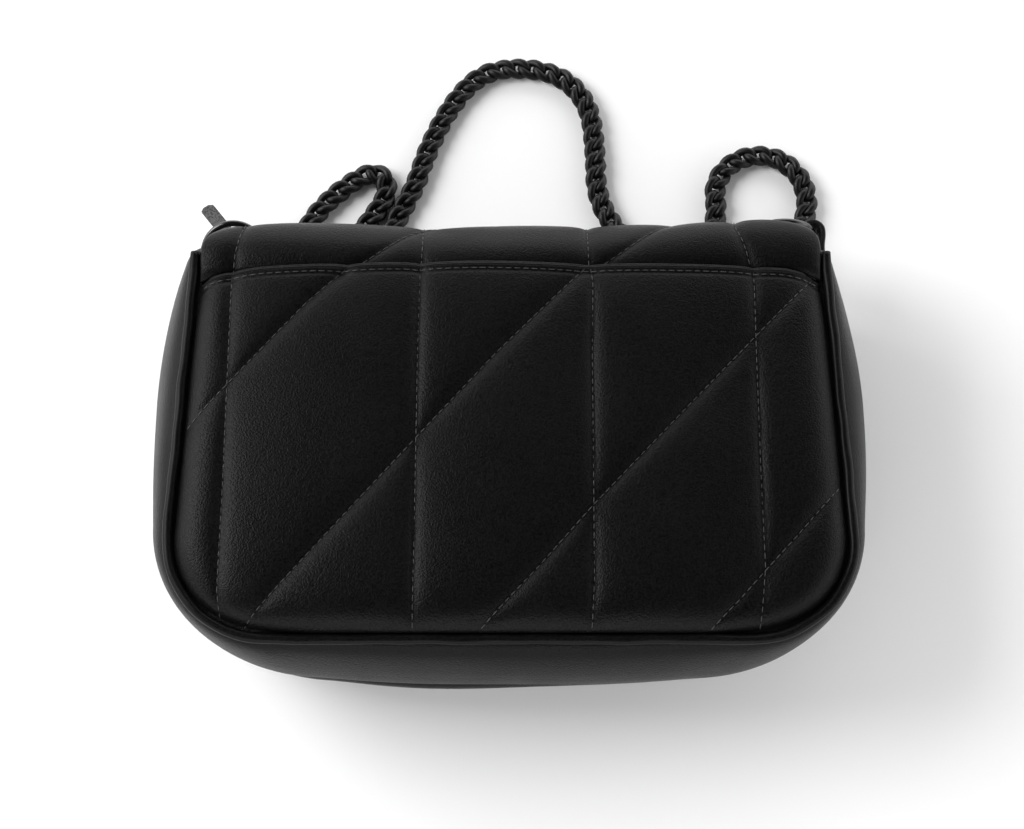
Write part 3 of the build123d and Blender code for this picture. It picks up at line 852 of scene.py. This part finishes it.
chain_tree = bpy.data.node_groups.new("curb_chain", "GeometryNodeTree")
chain_tree.interface.new_socket("Line", in_out="INPUT", socket_type="NodeSocketGeometry")
count_socket = chain_tree.interface.new_socket("Links", in_out="INPUT", socket_type="NodeSocketInt")
chain_tree.interface.new_socket("Chain", in_out="OUTPUT", socket_type="NodeSocketGeometry")
g = chain_tree.nodes
g_in = g.new("NodeGroupInput")
g_out = g.new("NodeGroupOutput")
g_spread = g.new("GeometryNodeCurveToPoints")
g_spread.mode = "COUNT"
g_along = g.new("FunctionNodeAlignRotationToVector")
g_along.axis = "X"
g_level = g.new("FunctionNodeAlignRotationToVector")
g_level.axis = "Z"
g_level.pivot_axis = "X"
g_level.inputs["Vector"].default_value = (0, 0, 1)
g_link_in = g.new("GeometryNodeObjectInfo")
g_link_in.inputs["Object"].default_value = chain_link
g_place = g.new("GeometryNodeInstanceOnPoints")
g_roll = g.new("FunctionNodeRandomValue")
g_roll.data_type = "FLOAT_VECTOR"
g_roll.inputs[0].default_value = (-0.12, -0.03, -0.03)
g_roll.inputs[1].default_value = (0.12, 0.03, 0.03)
g_roll.inputs["Seed"].default_value = 11
g_euler = g.new("FunctionNodeEulerToRotation")
g_turn = g.new("FunctionNodeRotateRotation")
g_turn.rotation_space = "LOCAL"
g_real = g.new("GeometryNodeRealizeInstances")
g_paint = g.new("GeometryNodeSetMaterial")
g_paint.inputs["Material"].default_value = chain_black
g_join = chain_tree.links.new
g_join(g_in.outputs["Line"], g_spread.inputs["Curve"])
g_join(g_in.outputs["Links"], g_spread.inputs["Count"])
g_join(g_spread.outputs["Tangent"], g_along.inputs["Vector"])
g_join(g_along.outputs["Rotation"], g_level.inputs["Rotation"])
g_join(g_roll.outputs[0], g_euler.inputs["Euler"])
g_join(g_level.outputs["Rotation"], g_turn.inputs["Rotation"])
g_join(g_euler.outputs["Rotation"], g_turn.inputs["Rotate By"])
g_join(g_spread.outputs["Points"], g_place.inputs["Points"])
g_join(g_link_in.outputs["Geometry"], g_place.inputs["Instance"])
g_join(g_turn.outputs["Rotation"], g_place.inputs["Rotation"])
g_join(g_place.outputs["Instances"], g_real.inputs["Geometry"])
g_join(g_real.outputs["Geometry"], g_paint.inputs["Geometry"])
g_join(g_paint.outputs["Geometry"], g_out.inputs["Chain"])
chain_work = route_obj.modifiers.new("links", "NODES")
chain_work.node_group = chain_tree
chain_work[count_socket.identifier] = int(round(chain_length / (CHAIN_PITCH * MM))) + 1
chain_shape = route_obj.evaluated_get(bpy.context.evaluated_depsgraph_get())
chain_mesh = bpy.data.meshes.new_from_object(chain_shape)
bpy.data.objects.remove(route_obj)
bpy.data.objects.remove(chain_link)
chain = bpy.data.objects.new("curb_chain", chain_mesh)
scene.collection.objects.link(chain)
chain_mesh.polygons.foreach_set("use_smooth", [True] * len(chain_mesh.polygons))
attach(chain, "bag")
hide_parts("chain_strap")

# ---------------------------------------------------------------------------
# Rings, end links, zip and snap: small black-plated metal parts.
# They keep their CAD shapes and take plated and painted finishes.
# ---------------------------------------------------------------------------


def plated(name, tone, rough, spec=0.5):
    """Black plating: fine polish marks in the roughness and a faint ripple."""
    mat = bpy.data.materials.new(name)
    mat.use_nodes = True
    nodes = mat.node_tree.nodes
    link = mat.node_tree.links.new
    bsdf = nodes["Principled BSDF"]
    where = nodes.new("ShaderNodeTexCoord")
    marks = nodes.new("ShaderNodeTexNoise")
    marks.inputs["Scale"].default_value = 700.0
    marks.inputs["Detail"].default_value = 6.0
    link(where.outputs["Object"], marks.inputs["Vector"])
    polish = nodes.new("ShaderNodeMapRange")
    polish.inputs["To Min"].default_value = rough * 0.8
    polish.inputs["To Max"].default_value = rough * 1.3
    link(marks.outputs["Fac"], polish.inputs["Value"])
    link(polish.outputs["Result"], bsdf.inputs["Roughness"])
    ripple = nodes.new("ShaderNodeBump")
    ripple.inputs["Strength"].default_value = 0.06
    ripple.inputs["Distance"].default_value = 0.0001
    link(marks.outputs["Fac"], ripple.inputs["Height"])
    link(ripple.outputs["Normal"], bsdf.inputs["Normal"])
    bsdf.inputs["Base Color"].default_value = (tone, tone, tone * 1.03, 1)
    bsdf.inputs["Specular IOR Level"].default_value = spec
    return mat


def dress(nodes, material):
    """Give CAD nodes a finish."""
    for node in nodes:
        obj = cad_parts[node]
        for k in range(max(1, len(obj.material_slots))):
            if not obj.material_slots:
                obj.data.materials.append(material)
            obj.material_slots[k].link = "OBJECT"
            obj.material_slots[k].material = material


ring_black = plated("ring_black", 0.004, 0.16, 0.6)
zip_black = plated("zip_black", 0.008, 0.34)
dress(["left_ring", "right_ring"], ring_black)
dress(["snap_socket", "snap_socket_washer", "snap_stud", "snap_stud_washer"], ring_black)
dress(["zip_slider", "puller_link", "zip_teeth", "zip_end_stop"], zip_black)
dress(["chain_end_link_left", "chain_end_link_right"], chain_black)

# ---------------------------------------------------------------------------
# Leather tabs that carry the rings, and the leather pull on the zip slider.
# Cut from strap leather, folded, with rounded edges.
# ---------------------------------------------------------------------------
STRAP_SIDES = 28


def strap(name, path, across, width, thick, material, body, node,
          round_end=False):
    """Flat leather strap with rounded edges along a path."""
    path = np.array(path, float)
    across = np.array(across, float)
    if across.ndim == 1:
        across = np.repeat(across[None], len(path), 0)
    across /= np.linalg.norm(across, axis=1)[:, None]
    run = np.gradient(path, axis=0)
    run /= np.linalg.norm(run, axis=1)[:, None]
    face = np.cross(run, across)
    face /= np.linalg.norm(face, axis=1)[:, None]
    turn = np.linspace(0, 2 * math.pi, STRAP_SIDES, endpoint=False)
    ca, sa = np.cos(turn), np.sin(turn)
    flat = np.sign(ca) * np.abs(ca) ** 0.35
    deep = np.sign(sa) * np.abs(sa) ** 0.75
    widths = np.full(len(path), width / 2.0)
    if round_end:
        s = np.linspace(0, 1, len(path))
        widths = widths * np.sqrt(np.clip(1 - np.clip((s - 0.955) / 0.05, 0, 1) ** 3, 0.12, 1))
    grid = (path[:, None] + across[:, None] * (flat[None, :, None] * widths[:, None, None])
            + face[:, None] * (deep[None, :, None] * thick / 2))
    ends = [np.repeat(path[:1, None], STRAP_SIDES, 1), np.repeat(path[-1:, None], STRAP_SIDES, 1)]
    grid = np.concatenate([ends[0], grid, ends[1]], 0)
    piece = surface(name, grid, material, close_u=True)
    finished(piece, weld=1e-6)
    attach(piece, body)
    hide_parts(node)
    return piece


tab_leather = leather("tab_leather", 0.0035, 0.40, 0.8)


def tab_path(origin, radial, away, leg, pinch=1.25):
    """Centre line of a strap folded round a ring wire, both ends going back."""
    origin, radial, away = (np.array(v, float) for v in (origin, radial, away))
    r = 3.55

    def apart(t):
        """Half the distance between the two legs, t behind the ring."""
        near = min(1.0, max(0.0, (t - 0.5) / 6.5))
        return pinch + (r - pinch) * (0.5 + 0.5 * math.cos(near * math.pi))

    pts = [origin + radial * apart(t) - away * t for t in np.linspace(leg, 0.5, 14)]
    for a in np.linspace(0, math.pi, 22)[1:-1]:
        pts.append(origin + radial * r * math.cos(a) + away * r * math.sin(a))
    pts += [origin - radial * apart(t) - away * t for t in np.linspace(0.5, leg, 14)]
    return pts


right_eye = (112.0, 82.0, 36.0)
right_path = tab_path(right_eye, (1, 0, 0), (0, 1, 0), 17.0, 2.9)
strap("right_tab", right_path, (0, 0, 1), 9.0, 2.4, tab_leather, "bag", "right_ring_tab")
left_eye = (-113.938, 76.591, 16.797)
ring_out = np.array((-0.819, -0.439, -0.369))
wire_dir = np.array((0.5736, -0.6275, -0.5265))
ring_up = np.cross(ring_out, wire_dir)
left_path = tab_path(left_eye, ring_out, -ring_up, 9.0)
strap("left_tab", left_path, wire_dir, 8.0, 2.2, tab_leather, "bag", "left_ring_tab")
pull_leather = leather("pull_leather", 0.035, 0.55, 0.9)
pull_line = np.array([(-98.5, 71.2, 36.5), (-98.5, 72.3, 36.3), (-104.0, 82.2, 29.6),
                      (-109.4, 91.8, 21.3), (-117.0, 102.8, 16.4)])
pull_line = smooth_line(np.repeat(pull_line, 2, 0)[:-1] + 1e-4 * np.arange(9)[:, None], 46)
pull_run = np.gradient(pull_line, axis=0)
pull_across = np.cross(pull_run, np.array((0, 0, 1.0)))
pull_tab = strap("pull_tab", pull_line, pull_across, 5.5, 0.9, pull_leather, "puller", "puller_tab",
                 round_end=True)
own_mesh(pull_tab)

# ---------------------------------------------------------------------------
# Mouth: leather facings, zip tapes, lining, pocket and stiffeners inside.
# ---------------------------------------------------------------------------
cloth = bpy.data.materials.new("lining_cloth")
cloth.use_nodes = True
l_nodes = cloth.node_tree.nodes
l_link = cloth.node_tree.links.new
l_bsdf = l_nodes["Principled BSDF"]
l_where = l_nodes.new("ShaderNodeTexCoord")
l_weave = l_nodes.new("ShaderNodeTexWave")
l_weave.inputs["Scale"].default_value = 700.0
l_weave.bands_direction = "X"
l_weft = l_nodes.new("ShaderNodeTexWave")
l_weft.inputs["Scale"].default_value = 700.0
l_weft.bands_direction = "Z"
l_link(l_where.outputs["Object"], l_weave.inputs["Vector"])
l_link(l_where.outputs["Object"], l_weft.inputs["Vector"])
l_mix = l_nodes.new("ShaderNodeMath")
l_mix.operation = "MAXIMUM"
l_link(l_weave.outputs["Fac"], l_mix.inputs[0])
l_link(l_weft.outputs["Fac"], l_mix.inputs[1])
l_bump = l_nodes.new("ShaderNodeBump")
l_bump.inputs["Strength"].default_value = 0.4
l_bump.inputs["Distance"].default_value = 0.0002
l_link(l_mix.outputs["Value"], l_bump.inputs["Height"])
l_link(l_bump.outputs["Normal"], l_bsdf.inputs["Normal"])
l_ramp = l_nodes.new("ShaderNodeValToRGB")
l_ramp.color_ramp.elements[0].color = (0.010, 0.010, 0.011, 1)
l_ramp.color_ramp.elements[1].color = (0.028, 0.028, 0.030, 1)
l_link(l_mix.outputs["Value"], l_ramp.inputs["Fac"])
l_link(l_ramp.outputs["Color"], l_bsdf.inputs["Base Color"])
l_bsdf.inputs["Roughness"].default_value = 0.8


def soft_slab(name, low, high, material, body, node):
    """Thin strip with soft, rounded edges and a slight swell."""
    low, high = np.array(low, float), np.array(high, float)
    size = high - low
    thin = int(np.argmin(size))
    long_axes = [k for k in range(3) if k != thin]
    nu, nv = 60, 14
    u = np.linspace(0, 1, nu)
    w = np.linspace(0, 1, nv)
    uu, ww = np.meshgrid(u, w, indexing="ij")
    a, b = long_axes
    gap = np.minimum(np.minimum(uu, 1 - uu) * size[a], np.minimum(ww, 1 - ww) * size[b])
    plate = []
    for sign in (1, -1):
        side_grid = np.zeros((nu, nv, 3))
        side_grid[..., a] = low[a] + uu * size[a]
        side_grid[..., b] = low[b] + ww * size[b]
        depth = size[thin] / 2 * (0.35 + 0.65 * np.clip(gap / 0.8, 0, 1) ** 0.5)
        side_grid[..., thin] = (low[thin] + high[thin]) / 2 + sign * depth
        plate.append(side_grid)
    grid = np.concatenate([plate[0], plate[1][:, ::-1]], 1)
    piece = surface(name, grid, material, close_u=True)
    finished(piece, weld=1e-6)
    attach(piece, body)
    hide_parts(*node)
    return piece


def corners(node):
    low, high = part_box(node)
    return np.array(low) / MM, np.array(high) / MM


a, b = corners("mouth_facing_front")
soft_slab("facing_front", (a[0] - 6.5, a[1], a[2]), (b[0] + 6.5, b[1], b[2]), tab_leather, "bag",
          ["mouth_facing_front"])
a, b = corners("mouth_facing_back")
soft_slab("facing_back", (a[0] - 6.5, 62.0, 42.0), (b[0] + 6.5, 63.2, 60.9), tab_leather, "bag",
          ["mouth_facing_back"])
for tape in ("zip_tape_front", "zip_tape_back"):
    a, b = corners(tape)
    soft_slab(tape.replace("zip_", "") + "_cloth", a, b, cloth, "bag", [tape])
lining_shell = surface("lining_shell", lining_grid, cloth)
thick = lining_shell.modifiers.new("cloth_thickness", "SOLIDIFY")
thick.thickness = 0.0005
finished(lining_shell)
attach(lining_shell, "bag")
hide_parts("lining")
dress(["inner_pocket", "front_interlining", "back_interlining"], cloth)
board = plated("board_grey", 0.05, 0.6, 0.3)
dress(["base_board"], board)
